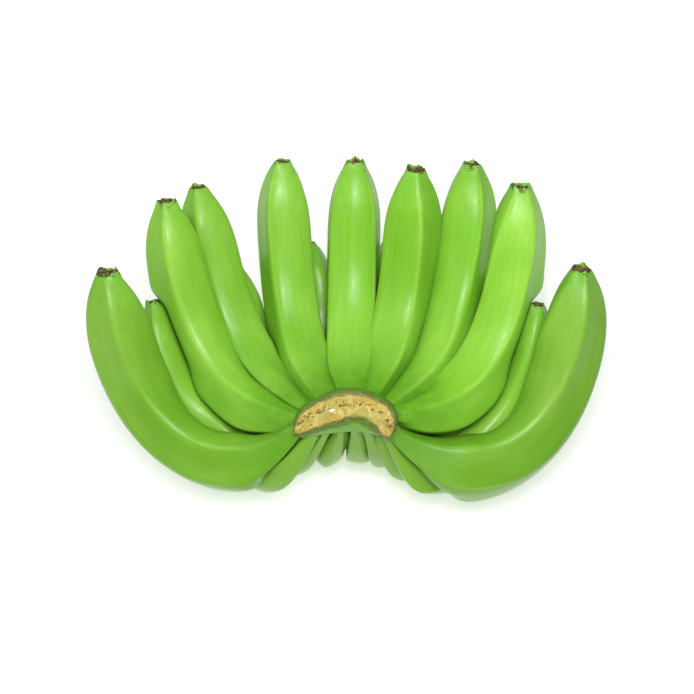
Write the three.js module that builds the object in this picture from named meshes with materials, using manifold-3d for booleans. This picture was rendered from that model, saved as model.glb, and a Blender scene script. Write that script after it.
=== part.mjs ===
// A hand of green dessert bananas as cut from the plant: a crescent crown, nine fruit in its upper row
// and seven in the row under them. Millimetres and degrees, +Z up.
//
// The hand is shaped as it grew, round an upright stalk, with the middle of the crown's cut face at the
// origin and the fruit pointing along +Y. Then it is laid on its back, with the origin under its middle.
import * as THREE from 'three';
import { mergeVertices } from 'three/addons/utils/BufferGeometryUtils.js';
import { ConvexHull } from 'three/addons/math/ConvexHull.js';
import Module from 'manifold-3d';

const wasm = await Module();
wasm.setup();

// Crown: a crescent that widens from the cut face to the roots of the stems. base is the level of its
// two ends, rise is the height of its arch over them.
const INTO_CROWN = -35; // pitch of the way from the cut face into the crown
const FACE = { halfWidth: 31, rise: 26, innerHalfWidth: 22, innerRise: 9, base: -19 };
const ROOTS = { halfWidth: 41, rise: 36, innerHalfWidth: 26, innerRise: 10, base: -31 };
const CROWN_DEPTH = 24; // from the cut face to the ends of the crown between the stems
const ARC_STEPS = 20; // corners along each edge of the crescent
const DEPTH_STEPS = 5;

// The two rows of stems: the arch that their starts stand on, and how deep in the crown they start.
const ROWS = {
  upper: { halfWidth: 33, arch: 20, base: -18, depth: 10 },
  lower: { halfWidth: 28, arch: 12, base: -31, depth: 12 },
};

// Shape of a fruit
const STEM_WIDTH = 0.42; // over the full width
const SHOULDER_END = 0.24; // share of the length where the fruit has its full width
const TIP_WIDTH = 0.32; // over the full width
const TAPER_LENGTH = 3.3; // in radii
const TAPER_POWER = 3; // how late the tapered end closes
const BEND_POWER = 0.65; // under 1: the fruit bends more near its stem than near its tip
const DEPTH_RATIO = 1.1; // thickness in the plane that the fruit bends in, over its width
const FACETS = 5; // faces round a fruit
const FACET_POWER = 9; // how flat the faces are
const FACET_SCALE = 0.985; // keeps the mean width of a section at the stated width

// Meshes
const RINGS = 25; // sections along a fruit
const END_CROWDING = 0.65; // 0 spaces the sections evenly, 1 crowds them most at both ends
const SIDES = 2 * FACETS; // corners round a section: its ridges and the middles of its faces
const SPINE_STEPS = 60; // straight steps along a fruit's middle line
const GAP = 0.3; // between the crown and the stems
const PRESSED_GAP = 1.3; // between fruit that press on each other
const NEAR = 60; // two fruit press on each other only where their middle lines are nearer than this

// Rest
const LEAN = 32; // how far back the hand is laid before it settles

// seat: place of the stem round the crown, from its middle. fan: heading at the stem and at the tip, to
// the right of +Y. pitch: above level at the stem and at the tip. length: along the middle line.
// width: across the widest section. roll: turn of the ridges.
const FRUIT = {
  upper: [
    { seat: -86, fan: [-84, -39], pitch: [-66, 84], length: 215, width: 37, roll: 8 },
    { seat: -60, fan: [-56, -25], pitch: [-36, 80], length: 194, width: 34, roll: 8 },
    { seat: -42, fan: [-36, -33], pitch: [-38, 76], length: 195, width: 32, roll: 0 },
    { seat: -22, fan: [-21, -4], pitch: [-34, 80], length: 194, width: 32, roll: 10 },
    { seat: 0, fan: [0, 4], pitch: [-33, 78], length: 189, width: 32, roll: 0 },
    { seat: 18, fan: [16, 19], pitch: [-35, 88], length: 187, width: 33, roll: -8 },
    { seat: 34, fan: [40, 6], pitch: [-35, 78], length: 203, width: 33, roll: -12 },
    { seat: 56, fan: [66, 0], pitch: [-31, 84], length: 198, width: 34, roll: -4 },
    { seat: 86, fan: [102, 6], pitch: [-64, 85], length: 214, width: 38, roll: -18 },
  ],
  lower: [
    { seat: -72, fan: [-67, -30], pitch: [-60, 67], length: 178, width: 32, roll: 0 },
    { seat: -42, fan: [-34, -16], pitch: [-63, 63], length: 188, width: 32, roll: 12 },
    { seat: -13, fan: [-11, -6], pitch: [-62, 65], length: 191, width: 32, roll: -9 },
    { seat: 13, fan: [11, 6], pitch: [-62, 65], length: 191, width: 32, roll: 9 },
    { seat: 36, fan: [30, 22], pitch: [-64, 66], length: 188, width: 32, roll: 0 },
    { seat: 56, fan: [52, 18], pitch: [-68, 70], length: 188, width: 32, roll: -8 },
    { seat: 78, fan: [76, 18], pitch: [-64, 73], length: 178, width: 32, roll: 6 },
  ],
};

const PEEL = new THREE.MeshStandardMaterial({ color: 0x74b82e, roughness: 0.42, metalness: 0 });
const CROWN_SKIN = new THREE.MeshStandardMaterial({ color: 0x9fb56a, roughness: 0.7, metalness: 0 });

const { degToRad, lerp, smoothstep } = THREE.MathUtils;

// Unit vector of a heading and a pitch.
function direction(heading, pitch) {
  const level = Math.cos(degToRad(pitch));
  const [sin, cos] = [Math.sin(degToRad(heading)), Math.cos(degToRad(heading))];
  return new THREE.Vector3(sin * level, cos * level, Math.sin(degToRad(pitch)));
}

// A point of the crown: across the cut face, up along it and behind it.
function crownPoint(across, up, depth) {
  const point = new THREE.Vector3(across, 0, 0);
  point.addScaledVector(direction(0, INTO_CROWN + 90), up);
  return point.addScaledVector(direction(0, INTO_CROWN), depth);
}

// A mesh over rings of points, each ring counterclockwise as seen from the last one, closed by its caps.
function ringGeometry(points, ringCount, sides, caps) {
  const index = [...caps];
  const at = (ring, side) => ring * sides + (side % sides);
  for (let ring = 0; ring < ringCount - 1; ring++) {
    for (let side = 0; side < sides; side++) {
      const [a, b] = [at(ring, side), at(ring, side + 1)];
      const [c, d] = [at(ring + 1, side + 1), at(ring + 1, side)];
      index.push(a, b, c, a, c, d);
    }
  }
  const geometry = new THREE.BufferGeometry().setFromPoints(points);
  geometry.setIndex(index);
  geometry.computeVertexNormals();
  return geometry;
}

// Radius of a fruit at a share of its length.
function radiusAt(share, { length, width }) {
  const shoulder = smoothstep(share, 0, SHOULDER_END);
  const fromTip = Math.min(1, ((1 - share) * length) / (TAPER_LENGTH * width / 2));
  const taper = lerp(TIP_WIDTH, 1, 1 - (1 - fromTip) ** TAPER_POWER);
  return (lerp(STEM_WIDTH, 1, shoulder) * taper * width) / 2;
}

// Distance from the middle of a section to its skin, over the radius, at an angle from the middle of the
// face on the inside of the bend.
function sectionReach(angle) {
  let sum = 0;
  for (let facet = 0; facet < FACETS; facet++) {
    sum += Math.max(0, Math.cos(angle - (2 * Math.PI * facet) / FACETS)) ** FACET_POWER;
  }
  return FACET_SCALE * sum ** (-1 / FACET_POWER);
}

// The middle line of a fruit: at each step its middle, its radius and the ways across it.
function growSpine(row, fruit) {
  const { halfWidth, arch, base, depth } = ROWS[row];
  const seat = degToRad(fruit.seat);
  const middle = crownPoint(halfWidth * Math.sin(seat), base + arch * Math.cos(seat), depth);
  return Array.from({ length: SPINE_STEPS + 1 }, (_, step) => {
    const share = step / SPINE_STEPS;
    const heading = lerp(...fruit.fan, share);
    const pitch = lerp(...fruit.pitch, smoothstep(share ** BEND_POWER, 0, 1));
    if (step > 0) middle.addScaledVector(direction(heading, pitch), fruit.length / SPINE_STEPS);
    return {
      middle: middle.clone(),
      inward: direction(heading, pitch + 90),
      across: direction(heading + 90, 0),
      radius: radiusAt(share, fruit),
    };
  });
}

// The spine's values at a share of its length.
function spineAt(spine, share) {
  const step = Math.min(SPINE_STEPS - 1, Math.floor(share * SPINE_STEPS));
  const part = share * SPINE_STEPS - step;
  const [from, to] = [spine[step], spine[step + 1]];
  return {
    middle: from.middle.clone().lerp(to.middle, part),
    inward: from.inward.clone().lerp(to.inward, part).normalize(),
    across: from.across.clone().lerp(to.across, part).normalize(),
    radius: lerp(from.radius, to.radius, part),
  };
}

// Whether a point of one fruit's skin lies past the middle between that fruit and another one.
function isPast(point, reach, radius, other) {
  const segment = new THREE.Line3();
  const nearest = new THREE.Vector3();
  for (let step = 0; step < SPINE_STEPS; step++) {
    const [from, to] = [other[step], other[step + 1]];
    if (from.middle.distanceTo(point) < NEAR) {
      const part = segment.set(from.middle, to.middle).closestPointToPointParameter(point, true);
      const distance = segment.at(part, nearest).distanceTo(point) - PRESSED_GAP;
      if (distance * radius < reach * lerp(from.radius, to.radius, part)) return true;
    }
  }
  return false;
}

// One fruit, pressed flat where it meets its neighbours. thicker moves its skin out.
function fruitGeometry({ spine, roll, neighbours }, thicker) {
  const points = [];
  for (let ring = 0; ring < RINGS; ring++) {
    const even = ring / (RINGS - 1);
    const share = lerp(even, 0.5 - 0.5 * Math.cos(Math.PI * even), END_CROWDING);
    const { middle, inward, across, radius } = spineAt(spine, share);
    for (let side = 0; side < SIDES; side++) {
      const angle = (2 * Math.PI * side) / SIDES;
      const turned = angle + degToRad(roll);
      const way = inward.clone().multiplyScalar(Math.cos(turned) * DEPTH_RATIO);
      way.addScaledVector(across, Math.sin(turned));
      const full = sectionReach(angle) * radius * way.length();
      way.normalize();
      const skin = (reach) => middle.clone().addScaledVector(way, reach);
      let reach = full;
      for (const other of neighbours) {
        while (isPast(skin(reach), reach, radius, other)) reach -= full / 60;
      }
      points.push(skin(reach + thicker));
    }
  }
  const [stemMiddle, tipMiddle] = [points.length, points.length + 1];
  const backward = spine[0].middle.clone().sub(spine[1].middle).setLength(thicker);
  points.push(spine[0].middle.clone().add(backward), spine[SPINE_STEPS].middle);
  const caps = [];
  const lastRing = (RINGS - 1) * SIDES;
  for (let side = 0; side < SIDES; side++) {
    const next = (side + 1) % SIDES;
    caps.push(stemMiddle, next, side, tipMiddle, lastRing + side, lastRing + next);
  }
  return ringGeometry(points, RINGS, SIDES, caps);
}

// The crown as if no stem grew out of it.
function crownGeometry() {
  const points = [];
  const turns = Array.from({ length: ARC_STEPS }, (_, i) => Math.PI * (i / (ARC_STEPS - 1) - 0.5));
  for (let layer = 0; layer <= DEPTH_STEPS; layer++) {
    const share = layer / DEPTH_STEPS;
    const flare = 1 - (1 - share) ** 2;
    const size = (key) => lerp(FACE[key], ROOTS[key], flare);
    const edge = (halfWidth, rise) => (turn) => {
      const up = size('base') + rise * Math.cos(turn);
      points.push(crownPoint(halfWidth * Math.sin(turn), up, share * CROWN_DEPTH));
    };
    turns.forEach(edge(size('halfWidth'), size('rise')));
    turns.toReversed().forEach(edge(size('innerHalfWidth'), size('innerRise')));
  }
  const sides = 2 * ARC_STEPS;
  const back = DEPTH_STEPS * sides;
  const caps = [];
  for (let i = 0; i < ARC_STEPS - 1; i++) {
    const [a, b, c, d] = [i, i + 1, sides - 2 - i, sides - 1 - i];
    caps.push(a, c, b, a, d, c);
    caps.push(back + a, back + b, back + c, back + a, back + c, back + d);
  }
  return ringGeometry(points, DEPTH_STEPS + 1, sides, caps);
}

function toSolid(geometry) {
  const bare = geometry.clone();
  bare.deleteAttribute('normal');
  const merged = mergeVertices(bare);
  return new wasm.Manifold(new wasm.Mesh({
    numProp: 3,
    vertProperties: new Float32Array(merged.attributes.position.array),
    triVerts: new Uint32Array(merged.index.array),
  }));
}

function toGeometry(solid) {
  const { vertProperties, triVerts } = solid.getMesh();
  const geometry = new THREE.BufferGeometry();
  geometry.setAttribute('position', new THREE.BufferAttribute(new Float32Array(vertProperties), 3));
  geometry.setIndex(Array.from(triVerts));
  geometry.computeVertexNormals();
  return geometry;
}

function namedMesh(name, geometry, material) {
  const mesh = new THREE.Mesh(geometry, material);
  mesh.name = name;
  return mesh;
}

// The crown and the fruit as they grew.
function growHand() {
  const hand = new THREE.Group();
  const fruits = Object.entries(FRUIT).flatMap(([row, shapes]) => shapes.map((shape, i) => (
    { name: `banana_${row}_${i + 1}`, spine: growSpine(row, shape), roll: shape.roll }
  )));
  let crown = toSolid(crownGeometry());
  for (const fruit of fruits) {
    fruit.neighbours = fruits.filter((other) => other !== fruit).map((other) => other.spine);
    hand.add(namedMesh(fruit.name, fruitGeometry(fruit, 0), PEEL));
    crown = crown.subtract(toSolid(fruitGeometry(fruit, GAP)));
  }
  const [body] = crown.decompose().sort((a, b) => b.volume() - a.volume());
  hand.add(namedMesh('crown', toGeometry(body), CROWN_SKIN));
  return hand;
}

// The middle of the hand's mass.
function massMiddle(hand) {
  const corners = [new THREE.Vector3(), new THREE.Vector3(), new THREE.Vector3()];
  const sum = new THREE.Vector3();
  let volume = 0;
  for (const { geometry: { index, attributes } } of hand.children) {
    for (let first = 0; first < index.count; first += 3) {
      corners.forEach((corner, k) => corner.fromBufferAttribute(attributes.position, index.getX(first + k)));
      const [a, b, c] = corners;
      const wedge = a.dot(b.clone().cross(c)) / 6;
      volume += wedge;
      sum.addScaledVector(a.clone().add(b).add(c), wedge / 4);
    }
  }
  return sum.divideScalar(volume);
}

// The outward way of the side that the hand comes to rest on: of all flat sides of its hull that its mass
// is balanced over, the one that faces down most nearly.
function restingSide(hand, down) {
  const ray = new THREE.Ray(massMiddle(hand));
  let best = down.clone().negate();
  for (const face of new ConvexHull().setFromObject(hand).faces) {
    const corners = [0, 1, 2].map((i) => face.getEdge(i).head().point);
    ray.direction.copy(face.normal);
    const balanced = ray.intersectTriangle(...corners, false, new THREE.Vector3());
    if (balanced && face.normal.dot(down) > best.dot(down)) best = face.normal.clone();
  }
  return best;
}

const hand = growHand();
const side = restingSide(hand, direction(0, LEAN - 90));
hand.quaternion.setFromUnitVectors(side, new THREE.Vector3(0, 0, -1));
const { min, max } = new THREE.Box3().setFromObject(hand, true);
hand.position.set(-(min.x + max.x) / 2, -(min.y + max.y) / 2, -min.z);

export default hand;
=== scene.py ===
"""A hand of green bananas, cut from the plant and laid on its back.

Each fruit is modelled over its solid in the frame: the solid's ten-sided sections become a smooth five-sided
peel, with ridges, shallow dents and a dried blossom end. The stems start inside the crown, which flares under
the cut and has a web over the lower stems. Its cut face is a separate pad of pale tissue. Metres, in the
frame's own axes.
"""
import math

import bmesh
import bpy
from mathutils import Matrix, Vector, noise


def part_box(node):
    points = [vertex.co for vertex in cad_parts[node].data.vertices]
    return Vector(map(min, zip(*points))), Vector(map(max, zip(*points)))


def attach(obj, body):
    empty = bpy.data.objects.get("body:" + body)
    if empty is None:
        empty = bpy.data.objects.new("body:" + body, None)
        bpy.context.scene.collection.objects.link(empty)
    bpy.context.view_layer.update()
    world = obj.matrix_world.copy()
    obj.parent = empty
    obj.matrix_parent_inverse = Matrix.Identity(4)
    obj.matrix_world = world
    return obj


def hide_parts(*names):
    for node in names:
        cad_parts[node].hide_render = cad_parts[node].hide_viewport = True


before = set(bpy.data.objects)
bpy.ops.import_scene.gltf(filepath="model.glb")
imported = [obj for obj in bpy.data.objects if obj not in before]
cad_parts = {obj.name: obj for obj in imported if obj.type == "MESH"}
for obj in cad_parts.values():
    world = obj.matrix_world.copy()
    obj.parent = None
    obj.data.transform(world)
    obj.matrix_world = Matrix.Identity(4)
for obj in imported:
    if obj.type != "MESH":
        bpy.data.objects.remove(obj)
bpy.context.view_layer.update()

BODY = "root"
MM = 0.001
SECTION_SIDES = 10  # corners round one section of a fruit's solid: a ridge, a face's middle, and so on
UPPER_ROW = [f"banana_upper_{i}" for i in range(1, 10)]
LOWER_ROW = [f"banana_lower_{i}" for i in range(1, 8)]


# --- The crown's cut face ------------------------------------------------------------------------


class CutFrame:
    """Where the crown was cut: across, up and out of the cut face, in millimetres from the arch's foot."""

    def __init__(self):
        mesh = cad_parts["crown"].data
        areas = {}
        for polygon in mesh.polygons:
            if polygon.normal.z > 0.1:
                way = tuple(round(c, 2) for c in polygon.normal)
                areas[way] = areas.get(way, 0) + polygon.area
        way = max(areas, key=areas.get)
        flat = [p for p in mesh.polygons if tuple(round(c, 2) for c in p.normal) == way]
        self.out = sum((p.normal * p.area for p in flat), Vector()).normalized()
        self.across = Vector((1, 0, 0))
        self.up = self.out.cross(self.across).normalized()
        corners = [mesh.vertices[i].co for p in flat for i in p.vertices]
        middle = (min(c.x for c in corners) + max(c.x for c in corners)) / 2
        foot = min(corners, key=lambda c: c.dot(self.up))
        self.origin = foot + self.across * (middle - foot.x)

    def point(self, across, up, depth=0.0):
        return self.origin + (self.across * across + self.up * up - self.out * depth) * MM

    def depth(self, point):
        return -(point - self.origin).dot(self.out) / MM


cut = CutFrame()

# The band of cut tissue, from its left end to its right: pairs of points on its outer and inner edge, each
# across and up from the foot of the arch, in millimetres.
CUT_BAND = [
    ((-34, 5), (-33, -1)), ((-30, 14), (-26, 1)), ((-19, 20), (-15, 5)),
    ((-8, 25), (-6, 8)), ((3, 26), (2, 10)), ((14, 23), (10, 8)),
    ((25, 17), (15, 4)), ((28, 8), (19, 0)), ((26, 0), (22, -3)),
]


def nearest_of_band(point):
    """How far a point is outside the band, and the way from it to the band's middle line, in millimetres."""
    place = point - cut.origin
    flat = Vector((place.dot(cut.across), place.dot(cut.up))) / MM
    found = []
    for (a, b), (c, d) in zip(CUT_BAND, CUT_BAND[1:]):
        start, end = (Vector(a) + Vector(b)) / 2, (Vector(c) + Vector(d)) / 2
        share = max(0.0, min(1.0, (flat - start).dot(end - start) / (end - start).length_squared))
        first, last = (Vector(a) - Vector(b)).length, (Vector(c) - Vector(d)).length
        half = (first * (1 - share) + last * share) / 2
        way = start.lerp(end, share) - flat
        found.append((way.length - half, way))
    return min(found, key=lambda item: item[0])


def distance_from_cut(point):
    """How far a point is from the pad of cut tissue, in millimetres."""
    beyond, way = nearest_of_band(point)
    return math.hypot(max(0.0, beyond), cut.depth(point))


# --- Camera, light and floor ---------------------------------------------------------------------

VIEW_AIM = (-1.8, 52.6)  # across and up from the foot of the cut; the view is straight on to the cut face
VIEW_DISTANCE = 0.8
LENS = 69.15


def add_camera():
    data = bpy.data.cameras.new("camera")
    data.lens = LENS
    data.clip_start = 0.01
    camera = bpy.data.objects.new("camera", data)
    bpy.context.collection.objects.link(camera)
    place = cut.point(*VIEW_AIM) + cut.out * VIEW_DISTANCE
    turn = Matrix((cut.across, cut.up, cut.out)).transposed()
    camera.matrix_world = Matrix.Translation(place) @ turn.to_4x4()
    bpy.context.scene.camera = camera


def add_light(name, location, size, power):
    """A square area light that faces the middle of the hand."""
    data = bpy.data.lights.new(name, "AREA")
    data.size = size
    data.energy = power
    light = bpy.data.objects.new(name, data)
    bpy.context.collection.objects.link(light)
    light.location = location
    light.rotation_euler = (Vector((0, 0, 0.06)) - light.location).to_track_quat("-Z", "Y").to_euler()


def add_world(strength):
    world = bpy.data.worlds.new("soft_room")
    bpy.context.scene.world = world
    world.use_nodes = True
    background = world.node_tree.nodes["Background"]
    background.inputs["Color"].default_value = (1, 1, 1, 1)
    background.inputs["Strength"].default_value = strength


def add_floor():
    bpy.ops.object.select_all(action="DESELECT")
    bpy.ops.mesh.primitive_plane_add(size=6, location=(0, 0, 0))
    floor = bpy.context.object
    floor.name = "floor"
    material, _, shader = new_material("floor_paper")
    shader.inputs["Base Color"].default_value = (0.93, 0.93, 0.93, 1)
    shader.inputs["Roughness"].default_value = 0.9
    shader.inputs["Emission Color"].default_value = (1, 1, 1, 1)
    shader.inputs["Emission Strength"].default_value = 0.45
    floor.data.materials.append(material)


# --- Shader building -----------------------------------------------------------------------------


def new_material(name):
    """A material, with the graph for its nodes and its shader."""
    material = bpy.data.materials.new(name)
    material.use_nodes = True
    return material, Graph(material.node_tree), material.node_tree.nodes["Principled BSDF"]


class Graph:
    """Short calls for adding nodes to a material or a group."""

    def __init__(self, tree):
        self.nodes, self.links = tree.nodes, tree.links

    def put(self, socket, value):
        if isinstance(value, bpy.types.NodeSocket):
            self.links.new(value, socket)
        else:
            socket.default_value = value

    def math(self, operation, a, b=0.0, clamp=False):
        node = self.nodes.new("ShaderNodeMath")
        node.operation = operation
        node.use_clamp = clamp
        self.put(node.inputs[0], a)
        self.put(node.inputs[1], b)
        return node.outputs[0]

    def vector(self, operation, a, b):
        node = self.nodes.new("ShaderNodeVectorMath")
        node.operation = operation
        self.put(node.inputs[0], a)
        self.put(node.inputs[1], b)
        return node.outputs[0]

    def scaled(self, vector, scale):
        return self.vector("MULTIPLY", vector, scale)

    def added(self, vector, offset):
        return self.vector("ADD", vector, offset)

    def noise(self, vector, scale, detail=3.0, roughness=0.5):
        node = self.nodes.new("ShaderNodeTexNoise")
        self.put(node.inputs["Vector"], vector)
        node.inputs["Scale"].default_value = scale
        node.inputs["Detail"].default_value = detail
        node.inputs["Roughness"].default_value = roughness
        return node.outputs["Fac"]

    def cells(self, vector, scale):
        """Distance to the nearest cell's middle, and that cell's own chance from 0 to 1."""
        node = self.nodes.new("ShaderNodeTexVoronoi")
        self.put(node.inputs["Vector"], vector)
        node.inputs["Scale"].default_value = scale
        split = self.nodes.new("ShaderNodeSeparateColor")
        self.put(split.inputs[0], node.outputs["Color"])
        return node.outputs["Distance"], split.outputs[0]

    def ramp(self, value, low, high, to_low=0.0, to_high=1.0):
        """value from low..high mapped smoothly to to_low..to_high."""
        node = self.nodes.new("ShaderNodeMapRange")
        node.interpolation_type = "SMOOTHSTEP"
        self.put(node.inputs["Value"], value)
        node.inputs["From Min"].default_value = low
        node.inputs["From Max"].default_value = high
        node.inputs["To Min"].default_value = to_low
        node.inputs["To Max"].default_value = to_high
        return node.outputs["Result"]

    def mix(self, share, a, b, blend="MIX"):
        node = self.nodes.new("ShaderNodeMix")
        node.data_type = "RGBA"
        node.blend_type = blend
        node.clamp_factor = True
        self.put(node.inputs["Factor"], share)
        self.put(node.inputs["A"], a)
        self.put(node.inputs["B"], b)
        return node.outputs["Result"]

    def grey(self, value):
        node = self.nodes.new("ShaderNodeCombineColor")
        for channel in node.inputs:
            self.put(channel, value)
        return node.outputs[0]

    def parts(self, vector):
        node = self.nodes.new("ShaderNodeSeparateXYZ")
        self.put(node.inputs[0], vector)
        return node.outputs

    def attribute(self, name):
        node = self.nodes.new("ShaderNodeAttribute")
        node.attribute_name = name
        return node.outputs

    def object_place(self):
        return self.nodes.new("ShaderNodeTexCoord").outputs["Object"]

    def bump(self, height, distance, strength=1.0):
        node = self.nodes.new("ShaderNodeBump")
        node.inputs["Strength"].default_value = strength
        node.inputs["Distance"].default_value = distance
        self.put(node.inputs["Height"], height)
        return node.outputs["Normal"]

    def group(self, tree, **inputs):
        node = self.nodes.new("ShaderNodeGroup")
        node.node_tree = tree
        for name, value in inputs.items():
            self.put(node.inputs[name.replace("_", " ")], value)
        return node.outputs


def new_group(name, inputs, outputs):
    """A node group, with the graph inside it and its input and output sockets."""
    tree = bpy.data.node_groups.new(name, "ShaderNodeTree")
    kinds = {"colour": "NodeSocketColor", "value": "NodeSocketFloat", "vector": "NodeSocketVector"}
    for label, kind in inputs.items():
        tree.interface.new_socket(label, in_out="INPUT", socket_type=kinds[kind])
    for label, kind in outputs.items():
        tree.interface.new_socket(label, in_out="OUTPUT", socket_type=kinds[kind])
    entry, leave = tree.nodes.new("NodeGroupInput"), tree.nodes.new("NodeGroupOutput")
    return tree, Graph(tree), entry.outputs, leave.inputs


# --- Colours and materials -----------------------------------------------------------------------

LEAF_GREEN = (0.165, 0.415, 0.022, 1)
FRESH_GREEN = (0.235, 0.490, 0.050, 1)
COOL_GREEN = (0.120, 0.380, 0.030, 1)
# pale green of the painted highlight along the ridges
RIDGE_HIGHLIGHT_GREEN = (0.290, 0.550, 0.070, 1)
STEM_GREEN = (0.085, 0.260, 0.010, 1)
# grey-green of the painted shade on skin facing down and on the lower stems
SHADE_GREY_GREEN = (0.205, 0.390, 0.045, 1)
RIM_GREEN = (0.085, 0.150, 0.024, 1)
SCAR_BROWN = (0.045, 0.026, 0.014, 1)
SCAR_TAN = (0.210, 0.135, 0.060, 1)
BARK_BROWN = (0.125, 0.085, 0.022, 1)
SPECK_BROWN = (0.050, 0.070, 0.012, 1)
CUT_YELLOW = (0.440, 0.330, 0.045, 1)
CUT_PALE = (0.640, 0.540, 0.160, 1)
CUT_OCHRE = (0.260, 0.150, 0.020, 1)
CUT_OLIVE = (0.310, 0.290, 0.050, 1)
VESSEL_BROWN = (0.130, 0.055, 0.012, 1)
LATEX_WHITE = (0.900, 0.890, 0.840, 1)


def living_green_group():
    """Colour of living peel: slow blotches, long faint streaks, and a painted highlight along the ridges."""
    tree, g, given, out = new_group(
        "living_green", {"Place": "vector", "Ridge": "value"}, {"Color": "colour", "Streaks": "value"})
    place = given["Place"]
    slow = g.noise(g.scaled(place, (1, 1, 0.4)), 30, 2)
    cool = g.noise(g.scaled(g.added(place, (3.1, 1.7, 0.4)), (1, 1, 0.4)), 19, 2)
    streaks = g.noise(g.scaled(place, (1, 1, 0.03)), 520, 3, 0.6)
    colour = g.mix(g.ramp(slow, 0.32, 0.68), LEAF_GREEN, FRESH_GREEN)
    colour = g.mix(g.ramp(cool, 0.50, 0.78, 0, 0.45), colour, COOL_GREEN)
    # painted highlight: a broken pale line along each ridge
    broken = g.noise(g.scaled(place, (1, 1, 0.3)), 90, 2)
    ridge_highlight = g.math("MULTIPLY", g.ramp(given["Ridge"], 0.80, 1.0), g.ramp(broken, 0.35, 0.65, 0.15, 0.8))
    colour = g.mix(ridge_highlight, colour, RIDGE_HIGHLIGHT_GREEN)
    g.put(out["Color"], g.mix(1.0, colour, g.grey(g.ramp(streaks, 0.3, 0.7, 0.94, 1.04)), "MULTIPLY"))
    g.put(out["Streaks"], streaks)
    return tree


def marks_group():
    """Small dark specks and short thin scratches on the peel."""
    tree, g, given, out = new_group("peel_marks", {"Place": "vector"}, {"Mask": "value"})
    distance, chance = g.cells(given["Place"], 150)
    size = g.math("MULTIPLY", g.ramp(chance, 0.80, 1.0), 0.085)
    specks = g.ramp(g.math("SUBTRACT", size, distance), 0.0, 0.03)
    distance, chance = g.cells(g.scaled(given["Place"], (1.0, 1.0, 0.22)), 95)
    size = g.math("MULTIPLY", g.ramp(chance, 0.93, 1.0), 0.07)
    scratches = g.ramp(g.math("SUBTRACT", size, distance), 0.0, 0.04, 0, 0.45)
    g.put(out["Mask"], g.math("MAXIMUM", specks, scratches))
    return tree


def neck_group():
    """Colour of the stems and the crown: dark green, a grey-green painted shade, and a dull band at the cut.
    """
    tree, g, given, out = new_group(
        "neck_green",
        {"Base": "colour", "Neck": "value", "Bloom": "value", "Cut Distance": "value",
         "Object Place": "vector"},
        {"Color": "colour"})
    patches = g.noise(given["Object Place"], 150, 4)
    dark = g.math("MULTIPLY", given["Neck"], g.ramp(patches, 0.3, 0.7, 0.7, 1.0))
    colour = g.mix(dark, given["Base"], STEM_GREEN)
    # painted shade: grey-green on skin facing down and on the lower row's stems
    shade_grey = g.math("MULTIPLY", given["Bloom"], g.ramp(patches, 0.25, 0.6, 0.55, 0.9))
    colour = g.mix(shade_grey, colour, SHADE_GREY_GREEN)
    below = g.math("ADD", given["Cut Distance"], g.ramp(patches, 0.3, 0.7, -0.0015, 0.0015))
    g.put(out["Color"], g.mix(g.ramp(below, 0.0030, 0.0060, 0.80, 0), colour, RIM_GREEN))
    return tree


def wax_group():
    """Skin relief of the waxy peel: fine orange-skin dimples and soft lengthwise lines."""
    tree, g, given, out = new_group(
        "wax_relief", {"Place": "vector", "Streaks": "value"}, {"Height": "value"})
    dimples = g.noise(given["Place"], 750, 2)
    swells = g.noise(g.scaled(given["Place"], (1, 1, 0.5)), 170, 2)
    height = g.math("ADD", g.math("MULTIPLY", given["Streaks"], 0.5), g.math("MULTIPLY", dimples, 0.5))
    g.put(out["Height"], g.math("ADD", height, swells))
    return tree


def finish_peel(shader):
    shader.inputs["Specular IOR Level"].default_value = 0.20
    shader.inputs["Coat Weight"].default_value = 0.12
    shader.inputs["Coat Roughness"].default_value = 0.16


def peel_material(green, marks, neck, wax):
    material, g, shader = new_material("green_peel")
    place = g.attribute("along")["Vector"]
    share = g.attribute("place")["Fac"]
    scar = g.attribute("scar")["Fac"]
    shades = g.group(green, Place=place, Ridge=g.attribute("ridge")["Fac"])
    # each fruit's lightness: partly its own tone, partly painted shade and painted light
    colour = g.mix(1.0, shades["Color"], g.grey(g.attribute("tone_and_shade")["Fac"]), "MULTIPLY")
    colour = g.mix(g.ramp(share, 0.93, 1.0, 0, 0.4), colour, COOL_GREEN)
    colour = g.mix(g.math("MULTIPLY", g.group(marks, Place=place)["Mask"], 0.8), colour, SPECK_BROWN)
    colour = g.group(
        neck, Base=colour, Neck=g.ramp(share, 0.04, 0.26, 0.90, 0), Bloom=g.attribute("shade_grey")["Fac"],
        Cut_Distance=g.attribute("rim")["Fac"], Object_Place=g.object_place())["Color"]
    # the dried blossom end, brown with a ragged edge
    ragged = g.math("ADD", scar, g.ramp(g.noise(place, 700, 3), 0.3, 0.7, -0.3, 0.3))
    dried = g.ramp(ragged, 0.40, 0.60)
    crust = g.mix(g.ramp(g.noise(place, 1300, 3), 0.4, 0.65), SCAR_BROWN, SCAR_TAN)
    g.put(shader.inputs["Base Color"], g.mix(dried, colour, crust))
    gloss = g.ramp(g.noise(g.scaled(place, (1, 1, 0.4)), 45, 3), 0.3, 0.7, 0.32, 0.46)
    g.put(shader.inputs["Roughness"], g.math("ADD", gloss, g.math("MULTIPLY", dried, 0.4)))
    relief = g.group(wax, Place=place, Streaks=shades["Streaks"])["Height"]
    crusty = g.math("MULTIPLY", g.math("MULTIPLY", g.noise(place, 1400, 3), dried), 6.0)
    g.put(shader.inputs["Normal"], g.bump(g.math("ADD", relief, crusty), 0.00018, 0.7))
    finish_peel(shader)
    return material


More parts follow.
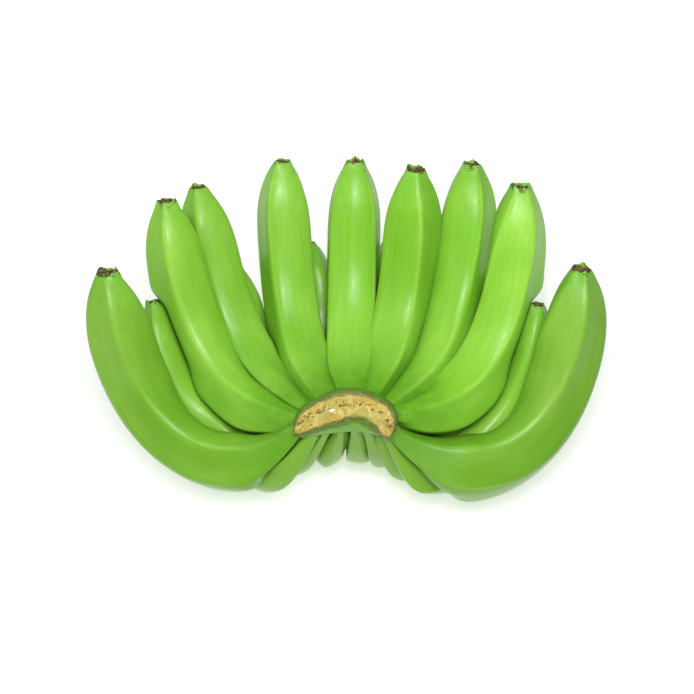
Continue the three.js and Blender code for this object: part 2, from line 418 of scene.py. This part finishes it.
def crown_material(green, neck, wax):
    material, g, shader = new_material("crown_skin")
    place = g.object_place()
    away = g.attribute("rim")["Fac"]
    shades = g.group(green, Place=place, Ridge=0.0)
    colour = g.group(neck, Base=shades["Color"], Neck=0.8, Bloom=g.attribute("shade_grey")["Fac"],
                     Cut_Distance=away, Object_Place=place)["Color"]
    # a ragged brown line where the knife went through
    patches = g.noise(place, 260, 4)
    below = g.math("ADD", away, g.ramp(patches, 0.3, 0.7, -0.0015, 0.0015))
    broken = g.ramp(g.noise(place, 120, 2), 0.45, 0.6, 0.2, 0.8)
    bark = g.math("MULTIPLY", g.ramp(below, 0.0001, 0.0012, 1, 0), broken)
    colour = g.mix(bark, colour, BARK_BROWN)
    g.put(shader.inputs["Base Color"], colour)
    g.put(shader.inputs["Roughness"], g.ramp(below, 0.001, 0.007, 0.75, 0.45))
    relief = g.group(wax, Place=place, Streaks=shades["Streaks"])["Height"]
    rough = g.math("MULTIPLY", g.noise(place, 900, 4), g.ramp(below, 0.002, 0.008, 4.0, 0.5))
    g.put(shader.inputs["Normal"], g.bump(g.math("ADD", relief, rough), 0.0002, 0.6))
    finish_peel(shader)
    return material


def cut_material():
    material, g, shader = new_material("cut_tissue")
    place = g.object_place()
    band = g.attribute("band")["Vector"]  # along the band and across it, in metres
    rim = g.attribute("rim")["Fac"]
    x, y, z = g.parts(band)
    coarse = g.noise(place, 240, 4, 0.6)
    fine = g.noise(place, 1300, 3, 0.6)
    colour = g.mix(g.ramp(coarse, 0.35, 0.65), CUT_YELLOW, CUT_PALE)
    fibres = g.noise(g.scaled(band, (1.0, 0.16, 1.0)), 900, 3, 0.6)
    colour = g.mix(g.ramp(fine, 0.42, 0.65, 0, 0.55), colour, CUT_OCHRE)
    colour = g.mix(g.ramp(fibres, 0.48, 0.68, 0, 0.7), colour, CUT_OCHRE)
    olive = g.ramp(g.noise(place, 110, 3), 0.42, 0.62, 0, 0.55)
    colour = g.mix(olive, colour, CUT_OLIVE)
    # vessels: a row of brown dots along the middle of the band
    row = g.math("MULTIPLY", g.ramp(y, -0.0010, 0.0006), g.ramp(y, 0.0030, 0.0050, 1, 0))
    distance, chance = g.cells(band, 520)
    size = g.math("MULTIPLY", g.ramp(chance, 0.05, 0.6), 0.60)
    dots = g.ramp(g.math("SUBTRACT", size, distance), 0.0, 0.25)
    dots = g.math("MULTIPLY", dots, row)
    distance, chance = g.cells(g.added(band, (0.4, 0.2, 0.1)), 260)
    size = g.math("MULTIPLY", g.ramp(chance, 0.45, 1.0), 0.30)
    spots = g.ramp(g.math("SUBTRACT", size, distance), 0.0, 0.12)
    vessels = g.math("MAXIMUM", dots, g.math("MULTIPLY", spots, g.ramp(rim, 0.55, 0.9, 0.9, 0)))
    # bruised towards one end, greenish at the foot of the arch, brown at the rim
    bruise = g.math("MULTIPLY", g.ramp(x, 0.056, 0.068), g.ramp(g.noise(place, 300, 3), 0.42, 0.62))
    colour = g.mix(g.math("MULTIPLY", bruise, 0.55), colour, BARK_BROWN)
    green = g.math("MULTIPLY", g.ramp(y, -0.0052, -0.0072), g.math(
        "MULTIPLY", g.ramp(x, 0.034, 0.040), g.ramp(x, 0.050, 0.056, 1, 0)))
    colour = g.mix(g.math("MULTIPLY", green, 0.8), colour, STEM_GREEN)
    colour = g.mix(g.math("MULTIPLY", vessels, 0.85), colour, VESSEL_BROWN)
    edge = g.math("ADD", rim, g.ramp(coarse, 0.3, 0.7, -0.10, 0.10))
    colour = g.mix(g.ramp(edge, 0.80, 1.0, 0, 0.75), colour, BARK_BROWN)
    spot = g.vector("SUBTRACT", band, (0.0270, 0.0004, 0.0))
    length = g.nodes.new("ShaderNodeVectorMath")
    length.operation = "LENGTH"
    g.put(length.inputs[0], g.scaled(spot, (0.8, 1.3, 1)))
    blob = g.math("ADD", length.outputs["Value"], g.ramp(g.noise(place, 900, 2), 0.3, 0.7, -0.0009, 0.0009))
    latex = g.ramp(blob, 0.0011, 0.0015, 1, 0)
    g.put(shader.inputs["Base Color"], g.mix(latex, colour, LATEX_WHITE))
    g.put(shader.inputs["Roughness"], g.ramp(latex, 0, 1, 0.75, 0.25))
    height = g.math("ADD", fine, g.math("MULTIPLY", fibres, 0.8))
    height = g.math("ADD", height, g.math("MULTIPLY", coarse, 1.6))
    height = g.math("SUBTRACT", height, g.math("MULTIPLY", vessels, 1.3))
    g.put(shader.inputs["Normal"], g.bump(g.math("ADD", height, g.math("MULTIPLY", latex, 1.5)), 0.0005, 0.8))
    return material


# --- Fruit ---------------------------------------------------------------------------------------

# degrees that the ridges beside the face inside the bend move away from it, which makes that face wider
FACE_SPREAD = {"banana_upper_5": 17, "banana_upper_4": 12, "banana_upper_6": 6}
USUAL_SPREAD = 8
LOWER_NECK_TURN = 36  # degrees that a lower fruit's ridges are turned at the neck
LOWER_SHADE_GREY = 0.75  # how strong the grey-green painted shade on the lower stems is
# how light each fruit's peel is: partly its own tone, partly painted shade (upper_1, upper_9) and light
# (upper_8)
TONES_AND_SHADE = {"banana_upper_1": 0.84, "banana_upper_3": 0.94, "banana_upper_5": 1.06, "banana_upper_7": 1.04,
         "banana_upper_8": 1.12, "banana_upper_9": 0.80}
# the lower row's peel is darker: painted shade under the upper row
LOWER_ROW_SHADE = 0.95
# how much thicker than its solid a fruit is, where it leans on its neighbour
GIRTHS = {"banana_upper_6": 1.03, "banana_upper_7": 1.05}
NECK_END = 0.24  # share of the length where the neck has its full width
STEM_WIDTH = 0.42  # width of the solid at the stem, over its full width
NECK_FULLNESS = 0.55  # how soon the neck widens; 1 is the solid's neck
LOWER_NECK_FULLNESS = 0.95  # the same of the lower row
OUTER_NECK_FULLNESS = 0.8  # the same of the two fruit at the ends of the upper row
TUCK_END = 0.16  # share of the length over which a stem is drawn in under the cut
CUT_ENDS = (-26, 20)  # how far across an upper stem may start, in millimetres
UPPER_START_DEPTH = 3.5  # depth under the cut at which an upper stem starts, in millimetres
OUTER_START_DEEPER = 5  # how much deeper the outermost two start
UPPER_ROW_HALF = 33  # how far across from the middle those two stems are, in millimetres
LOWER_START_DEPTH = 11
LOWER_START_UP = 6  # how far up the middle lower stem starts, in millimetres
ROW_BEND = 0.15  # how much further down a lower stem and the web over it are, for each unit across
START_WIDTH = 0.28  # width of a stem where it starts, over the fruit's full width


def smoothstep(value, low, high):
    share = min(1.0, max(0.0, (value - low) / (high - low)))
    return share * share * (3 - 2 * share)


def only(piece):
    bpy.ops.object.select_all(action="DESELECT")
    piece.select_set(True)
    bpy.context.view_layer.objects.active = piece


def copied_solid(node, name):
    """A copy of a CAD node's solid with its corners joined."""
    piece = bpy.data.objects.new(name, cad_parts[node].data.copy())
    bpy.context.collection.objects.link(piece)
    piece.data.materials.clear()
    only(piece)
    bpy.ops.object.mode_set(mode="EDIT")
    bpy.ops.mesh.select_all(action="SELECT")
    bpy.ops.mesh.remove_doubles(threshold=0.02 * MM)
    bpy.ops.object.mode_set(mode="OBJECT")
    return piece


def sections_of(bm):
    """The fruit's sections from stem to tip, each a ring of corners in step with the one before it."""
    poles = [v for v in bm.verts if len(v.link_edges) == SECTION_SIDES]
    low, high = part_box("crown")
    stem, tip = sorted(poles, key=lambda v: (v.co - (low + high) / 2).length)
    rings, seen, ring = [], {stem}, [e.other_vert(stem) for e in stem.link_edges]
    while tip not in ring:
        seen.update(ring)
        rings.append(in_order(ring))
        ring = list({e.other_vert(v) for v in ring for e in v.link_edges} - seen)
    for before, after in zip(rings, rings[1:]):
        after[:] = in_step(before, after)
    return stem, rings, tip


def in_order(ring):
    """The corners of one ring, each next to the one before."""
    ordered = [ring[0]]
    while len(ordered) < len(ring):
        around = [e.other_vert(ordered[-1]) for e in ordered[-1].link_edges]
        ordered.append(next(v for v in around if v in ring and v not in ordered))
    return ordered


def in_step(before, after):
    """The ring after, started and turned so that its corners lie straight on from those before."""
    starts = [way[i:] + way[:i] for way in (after, after[::-1]) for i in range(len(after))]
    return min(starts, key=lambda way: sum((a.co - b.co).length for a, b in zip(before, way)))


def middle_of(ring):
    return sum((v.co for v in ring), Vector()) / len(ring)


class Growth:
    """A fruit's middle line: the middle, the way and the length so far of each section."""

    def __init__(self, rings):
        self.middles = [middle_of(ring) for ring in rings]
        last = len(rings) - 1
        self.ways = [(self.middles[min(k + 1, last)] - self.middles[max(k - 1, 0)]).normalized()
                     for k in range(len(rings))]
        self.lengths = [0.0]
        for a, b in zip(self.middles, self.middles[1:]):
            self.lengths.append(self.lengths[-1] + (b - a).length)
        self.shares = [length / self.lengths[-1] for length in self.lengths]
        self.inward = (self.middles[0] + self.middles[-1]) / 2 - self.middles[last // 2]


def shape_sections(rings, growth, spread, neck_turn, fullness, girth):
    """Widens the face inside the bend, turns the ridges near the stem, and fills out the neck."""
    for ring, middle, way, share in zip(rings, growth.middles, growth.ways, growth.shares):
        inward = (growth.inward - way * growth.inward.dot(way)).normalized()
        aside = way.cross(inward)
        widening = smoothstep(share, 0, NECK_END)
        solid = STEM_WIDTH + (1 - STEM_WIDTH) * widening
        wanted = START_WIDTH + (1 - START_WIDTH) * widening ** fullness
        for v in ring:
            arm = v.co - middle
            angle = math.atan2(arm.dot(aside), arm.dot(inward))
            turn = spread * (0.47 * math.sin(angle) + 0.76 * math.sin(2 * angle))
            turn += neck_turn * (1 - smoothstep(share, 0.08, 0.45))
            v.co = middle + Matrix.Rotation(math.radians(turn), 3, way) @ arm * (girth * wanted / solid)


def tuck_in(bm, stem, lower):
    """Draws the start of a stem in under the cut, so that its neck comes out right at the edge."""
    place = bm.verts.layers.float["place"]
    root = stem.co - cut.origin
    across, up = root.dot(cut.across) / MM, root.dot(cut.up) / MM
    if lower:
        aim = cut.point(0.8 * across, LOWER_START_UP - ROW_BEND * abs(across), LOWER_START_DEPTH)
    else:
        under = cut.point(max(CUT_ENDS[0], min(CUT_ENDS[1], across)), up)
        way = nearest_of_band(under)[1]
        depth = UPPER_START_DEPTH + OUTER_START_DEEPER * (across / UPPER_ROW_HALF) ** 4
        aim = under + cut.point(way.x, way.y, depth) - cut.origin
    move = aim - stem.co
    for v in bm.verts:
        v.co += move * (1 - smoothstep(v[place], 0, TUCK_END))


def mark_growth(bm, stem, rings, tip, growth, shade_grey):
    """Writes each corner's place on the straightened fruit: along (a vector), place (0 to 1) and ridge."""
    along = bm.verts.layers.float_vector["along"]
    layers = bm.verts.layers.float
    reach = [sum((ring[k].co - c).length for ring, c in zip(rings, growth.middles))
             for k in range(SECTION_SIDES)]
    first_ridge = 0 if sum(reach[0::2]) > sum(reach[1::2]) else 1
    side = (rings[0][0].co - growth.middles[0]).normalized()
    for k, ring in enumerate(rings):
        way = growth.ways[k]
        side = (side - way * side.dot(way)).normalized()
        for i, v in enumerate(ring):
            arm = v.co - growth.middles[k]
            v[along] = Vector((arm.dot(side), arm.dot(way.cross(side)), growth.lengths[k]))
            v[layers["place"]] = growth.shares[k]
            v[layers["ridge"]] = 1.0 if i % 2 == first_ridge else 0.0
            # painted shade on the lower row's stems, fading away from the stem
            v[layers["shade_grey"]] = shade_grey * (1 - smoothstep(growth.shares[k], 0.15, 0.6))
    stem[along], tip[along] = Vector((0, 0, 0)), Vector((0, 0, growth.lengths[-1]))
    stem[layers["place"]], tip[layers["place"]] = 0.0, 1.0
    stem[layers["shade_grey"]] = shade_grey
    return first_ridge


def sharpen_ridges(bm, rings, growth, first_ridge):
    """Takes out the slanting edges and creases the ridges, less towards the tip."""
    slanting = []
    crease = bm.edges.layers.float["crease_edge"]
    for k, (before, after) in enumerate(zip(rings, rings[1:])):
        share = growth.shares[k]
        sharp = 0.46 - 0.12 * smoothstep(share, 0.1, 0.4) - 0.08 * smoothstep(share, 0.8, 1.0)
        for i, v in enumerate(before):
            for edge in v.link_edges:
                other = edge.other_vert(v)
                if other in after and other is not after[i]:
                    slanting.append(edge)
                elif other is after[i] and i % 2 == first_ridge:
                    edge[crease] = sharp
    bmesh.ops.dissolve_edges(bm, edges=slanting, use_verts=False)


def banana(node, seed, material):
    """One fruit, from its CAD solid."""
    lower = node in LOWER_ROW
    piece = copied_solid(node, f"{node}_peel")
    bm = bmesh.new()
    bm.from_mesh(piece.data)
    bm.verts.layers.float_vector.new("along")
    for name in ("place", "ridge", "scar", "shade_grey", "tone_and_shade"):
        bm.verts.layers.float.new(name)
    bm.edges.layers.float.new("crease_edge")
    stem, rings, tip = sections_of(bm)
    growth = Growth(rings)
    first_ridge = mark_growth(bm, stem, rings, tip, growth, shade_grey=LOWER_SHADE_GREY if lower else 0.0)
    for v in bm.verts:
        v[bm.verts.layers.float["tone_and_shade"]] = LOWER_ROW_SHADE if lower else TONES_AND_SHADE.get(node, 1.0)
    fullness = LOWER_NECK_FULLNESS if lower else NECK_FULLNESS
    if node in (UPPER_ROW[0], UPPER_ROW[-1]):
        fullness = OUTER_NECK_FULLNESS
    spread, neck_turn = FACE_SPREAD.get(node, USUAL_SPREAD), LOWER_NECK_TURN if lower else 0
    shape_sections(rings, growth, spread, neck_turn, fullness, GIRTHS.get(node, 1.0))
    tuck_in(bm, stem, lower)
    sharpen_ridges(bm, rings, growth, first_ridge)
    tip_place, tip_way = tip.co.copy(), (tip.co - middle_of(rings[-2])).normalized()
    radius = sum((v.co - tip.co).length for v in rings[-1]) / SECTION_SIDES
    bm.to_mesh(piece.data)
    bm.free()
    blossom_end(piece, tip_place, tip_way, radius, seed)
    smooth_over(piece, FRUIT_SMOOTHING)
    dent(piece, seed)
    write_rim(piece.data)
    piece.data.materials.append(material)
    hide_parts(node)
    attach(piece, BODY)
    return piece


def blossom_end(piece, tip_place, tip_way, radius, seed):
    """The dried end: the fan of faces at the tip becomes a rim of five small horns round a sunken scar."""
    only(piece)
    bpy.ops.object.mode_set(mode="EDIT")
    bpy.ops.mesh.select_mode(type="FACE")
    bpy.ops.mesh.select_all(action="DESELECT")
    bm = bmesh.from_edit_mesh(piece.data)
    old = len(bm.verts) - 1
    for face in bm.faces:
        face.select = len(face.verts) == 3 and (face.calc_center_median() - tip_place).length < radius
    bmesh.update_edit_mesh(piece.data)
    bpy.ops.mesh.dissolve_faces()
    bpy.ops.mesh.inset(thickness=0.12 * radius, depth=0.04 * radius)
    bpy.ops.mesh.inset(thickness=0.16 * radius, depth=-0.30 * radius)
    bpy.ops.mesh.inset(thickness=0.34 * radius, depth=-0.06 * radius)
    bpy.ops.mesh.poke(offset=0.30 * radius)
    bm = bmesh.from_edit_mesh(piece.data)
    scar, place = bm.verts.layers.float["scar"], bm.verts.layers.float["place"]
    ridge, along = bm.verts.layers.float["ridge"], bm.verts.layers.float_vector["along"]
    full = max(v[along].z for v in bm.verts)
    bm.verts.ensure_lookup_table()
    for v in bm.verts:
        beyond = (v.co - tip_place).dot(tip_way)
        out = (v.co - tip_place - tip_way * beyond).length
        if beyond < -0.6 * radius or out > 1.5 * radius:
            continue  # not at the blossom end
        chance = noise.noise(v.co * 400 + Vector((seed * 3.1, 0, 0)))
        if v.index < old:  # a corner of the peel
            v[scar] = 0.2 * max(0.0, chance)
            v.co += tip_way * radius * 0.10 * chance
            continue
        rim = out > 0.82 * radius
        v[scar] = 0.30 + 0.6 * chance if rim else 1.0
        v[place] = 1.0
        arm = v.co - tip_place
        v[along] = Vector((arm.x, arm.y, full + beyond))
        if rim:
            v.co += tip_way * radius * (0.05 + (0.20 + 0.7 * chance) * v[ridge])
    bmesh.update_edit_mesh(piece.data)
    bpy.ops.object.mode_set(mode="OBJECT")


def smooth_over(piece, levels):
    """Subdivides a piece, its corners moved first so that the smooth skin passes through where they were."""
    modifier = piece.modifiers.new("smooth", "SUBSURF")
    modifier.levels = modifier.render_levels = levels
    corners = piece.data.vertices
    aims = [v.co.copy() for v in corners]
    for _ in range(2):
        shown = piece.evaluated_get(bpy.context.evaluated_depsgraph_get()).data.vertices
        moves = [aim - shown[i].co for i, aim in enumerate(aims)]
        for v, move in zip(corners, moves):
            v.co += move * 0.9
        piece.data.update()
        piece.data.update_tag()
    only(piece)
    bpy.ops.object.modifier_apply(modifier=modifier.name)
    bpy.ops.object.shade_smooth()


def write_rim(mesh):
    """Keeps each point's distance from the cut, in metres, for the colours."""
    rims = mesh.attributes.new("rim", "FLOAT", "POINT")
    place = mesh.attributes.get("place")
    for v in mesh.vertices:
        far = place and place.data[v.index].value > 0.3
        rims.data[v.index].value = 0.1 if far else distance_from_cut(v.co) * MM


def dent(piece, seed):
    """Shallow hollows and swellings, longer along the fruit than round it, and a torn blossom end."""
    mesh = piece.data
    along, scar = mesh.attributes["along"].data, mesh.attributes["scar"].data
    normals = [v.normal.copy() for v in mesh.vertices]
    shift = Vector((seed * 1.7, seed * 0.9, seed * 2.3))
    for v, normal in zip(mesh.vertices, normals):
        at = along[v.index].vector
        slow = noise.noise(Vector((at.x * 50, at.y * 50, at.z * 16)) + shift)
        quick = noise.noise(Vector((at.x * 170, at.y * 170, at.z * 55)) + shift)
        torn = noise.noise(v.co * 900 + shift) * min(1.0, scar[v.index].value * 1.5)
        v.co += normal * MM * (0.45 * slow + 0.10 * quick + 0.7 * torn)
    mesh.update()


# --- Crown ---------------------------------------------------------------------------------------

CROWN_DEPTH = 24  # millimetres
CROWN_LEVELS = (0.01, 0.06, 0.14, 0.28, 0.6, 1.0)  # shares of the depth
FLARE = 2.8  # millimetres that the crown is wider than the cut
FLARE_SHARE = 0.16  # share of the depth where it is that wide
WEB_FOOT = 1.5  # where the web under the cut ends, in millimetres up from the foot of the arch
WEB_SHARE = 0.28  # share of the depth where it ends
CROWN_VOXEL = 1.0 * MM
PAD_FOOT, PAD_EDGE, PAD_TOP = 3, -0.3, -0.9  # depths of the pad of cut tissue, in millimetres
PAD_INSET = 0.7  # millimetres that the pad stays inside the band's edge
FRUIT_SMOOTHING, CROWN_SMOOTHING, PAD_SMOOTHING = 3, 3, 5  # subdivisions


def carried_down(point, opposite, share, inner):
    """A point of the band's edge at a share of the depth: flared, or sloped over the lower stems."""
    across, up = point
    if inner:
        up -= (up - WEB_FOOT + ROW_BEND * abs(across)) * min(1.0, share / WEB_SHARE)
        return cut.point(across * (1 + 0.05 * share), up, CROWN_DEPTH * share)
    out = (Vector(point) - Vector(opposite)).normalized() * FLARE * min(1.0, share / FLARE_SHARE) ** 0.7
    return cut.point(across + out.x, up + out.y, CROWN_DEPTH * share)


def crown_core():
    """The solid heart of the crown, wider towards the roots of the fruit."""
    bm = bmesh.new()
    edge = [pair[0] for pair in CUT_BAND] + [pair[1] for pair in reversed(CUT_BAND)]
    facing = [pair[1] for pair in CUT_BAND] + [pair[0] for pair in reversed(CUT_BAND)]
    levels = [[bm.verts.new(carried_down(point, opposite, share, i >= len(CUT_BAND)))
               for i, (point, opposite) in enumerate(zip(edge, facing))] for share in CROWN_LEVELS]
    for above, below in zip(levels, levels[1:]):
        for i in range(len(edge)):
            j = (i + 1) % len(edge)
            bm.faces.new((above[i], below[i], below[j], above[j]))
    half = len(CUT_BAND)
    for level, turned in ((levels[0], False), (levels[-1], True)):
        for i in range(half - 1):
            corners = (level[i], level[i + 1], level[-2 - i], level[-1 - i])
            bm.faces.new(corners[::-1] if turned else corners)
    crease = bm.edges.layers.float.new("crease_edge")
    for i in range(len(edge)):
        bm.edges.get((levels[0][i], levels[0][(i + 1) % len(edge)]))[crease] = 1.0
    bmesh.ops.recalc_face_normals(bm, faces=bm.faces)
    return finished_mesh("crown_skin", bm, CROWN_SMOOTHING)


def finished_mesh(name, bm, levels):
    """A new piece from a cage, subdivided."""
    mesh = bpy.data.meshes.new(name)
    bm.to_mesh(mesh)
    bm.free()
    piece = bpy.data.objects.new(name, mesh)
    bpy.context.collection.objects.link(piece)
    modifier = piece.modifiers.new("smooth", "SUBSURF")
    modifier.levels = modifier.render_levels = levels
    only(piece)
    bpy.ops.object.modifier_apply(modifier=modifier.name)
    bpy.ops.object.shade_smooth()
    return piece


def crown_skin(material):
    """The skin of the crown, out of which the stems grow."""
    crown = crown_core()
    modifier = crown.modifiers.new("grown_together", "REMESH")
    modifier.mode = "VOXEL"
    modifier.voxel_size = CROWN_VOXEL
    only(crown)
    bpy.ops.object.modifier_apply(modifier=modifier.name)
    bpy.ops.object.mode_set(mode="EDIT")
    bpy.ops.mesh.select_all(action="SELECT")
    bpy.ops.mesh.vertices_smooth(factor=0.5, repeat=3)
    bpy.ops.object.mode_set(mode="OBJECT")
    wrinkle(crown)
    bpy.ops.object.shade_smooth()
    crown.data.materials.append(material)
    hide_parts("crown")
    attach(crown, BODY)
    return crown


def wrinkle(crown):
    """Makes the skin near the cut uneven, and keeps each point's painted shade for the colours."""
    mesh = crown.data
    shade_greys = mesh.attributes.new("shade_grey", "FLOAT", "POINT")
    normals = [v.normal.copy() for v in mesh.vertices]
    for v, normal in zip(mesh.vertices, normals):
        away = distance_from_cut(v.co)
        near = 1 - smoothstep(away, 4, 14)
        v.co += normal * MM * near * (0.5 * noise.noise(v.co * 160) + 0.25 * noise.noise(v.co * 420))
        # painted shade: grey-green on skin that faces down, away from the cut's up
        shade_greys.data[v.index].value = 0.5 * smoothstep(-normal.dot(cut.up), -0.1, 0.4)
    mesh.update()
    write_rim(mesh)


def cut_face(material):
    """The pad of pale tissue that the knife left, a little proud of the skin round it."""
    bm = bmesh.new()
    band = bm.verts.layers.float_vector.new("band")
    rim = bm.verts.layers.float.new("rim")
    length = 0.0
    columns = []
    for i, (outer, inner) in enumerate(CUT_BAND):
        outer, inner = Vector(outer), Vector(inner)
        middle = (outer + inner) / 2
        if i:
            length += (middle - (Vector(CUT_BAND[i - 1][0]) + Vector(CUT_BAND[i - 1][1])) / 2).length
        column = []
        profile = ((outer, PAD_FOOT, 1), (outer, PAD_EDGE, 1), (middle, PAD_TOP, 0), (inner, PAD_EDGE, 1),
                   (inner, PAD_FOOT, 1))
        for point, depth, edge in profile:
            pulled = middle + (point - middle) * (1 - PAD_INSET / max(1.0, (point - middle).length))
            v = bm.verts.new(cut.point(pulled.x, pulled.y, depth))
            sign = 1 if point == outer else -1 if point == inner else 0
            v[band] = Vector((length, sign * (point - middle).length, 0)) * MM
            v[rim] = 1.0 if i in (0, len(CUT_BAND) - 1) else edge
            column.append(v)
        columns.append(column)
    for before, after in zip(columns, columns[1:]):
        for i in range(4):
            bm.faces.new((before[i], before[i + 1], after[i + 1], after[i]))
        bm.faces.new((before[4], before[0], after[0], after[4]))
    bm.faces.new(columns[0])
    bm.faces.new(columns[-1][::-1])
    crease = bm.edges.layers.float.new("crease_edge")
    for before, after in zip(columns, columns[1:]):
        for i in (1, 3):
            bm.edges.get((before[i], after[i]))[crease] = 0.6
    for column in (columns[0], columns[-1]):
        for i in (1, 2):
            bm.edges.get((column[i], column[i + 1]))[crease] = 0.5
    bmesh.ops.recalc_face_normals(bm, faces=bm.faces)
    pad = finished_mesh("cut_tissue", bm, PAD_SMOOTHING)
    tear(pad)
    pad.data.materials.append(material)
    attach(pad, BODY)
    return pad


def tear(pad):
    """Makes the pad's outline wavy and its face fibrous."""
    mesh = pad.data
    normals = [v.normal.copy() for v in mesh.vertices]
    for v, normal in zip(mesh.vertices, normals):
        at = v.co.copy()
        wave = Vector((noise.noise(at * 150), noise.noise(at * 150 + Vector((7, 0, 0))), 0))
        wave += 0.4 * Vector((noise.noise(at * 420), noise.noise(at * 420 + Vector((5, 0, 0))), 0))
        v.co += (cut.across * wave.x + cut.up * wave.y) * 0.9 * MM
        lumps = 0.45 * noise.noise(at * 230) + 0.22 * noise.noise(at * 620) + 0.10 * noise.noise(at * 1500)
        v.co += normal * MM * lumps
    mesh.update()


# --- Scene ---------------------------------------------------------------------------------------

add_camera()
add_floor()
add_world(0.26)
add_light("key", cut.point(30, 160, -480), 0.3, 2.8)
add_light("glint", cut.point(10, 130, -520), 0.06, 0.7)
add_light("fill", cut.point(-600, 300, -500), 0.8, 1.6)
bpy.context.scene.view_settings.view_transform = "Standard"

green, marks, neck, wax = living_green_group(), marks_group(), neck_group(), wax_group()
peel = peel_material(green, marks, neck, wax)
for number, node in enumerate(UPPER_ROW + LOWER_ROW):
    banana(node, number + 1, peel)
crown_skin(crown_material(green, neck, wax))
cut_face(cut_material())
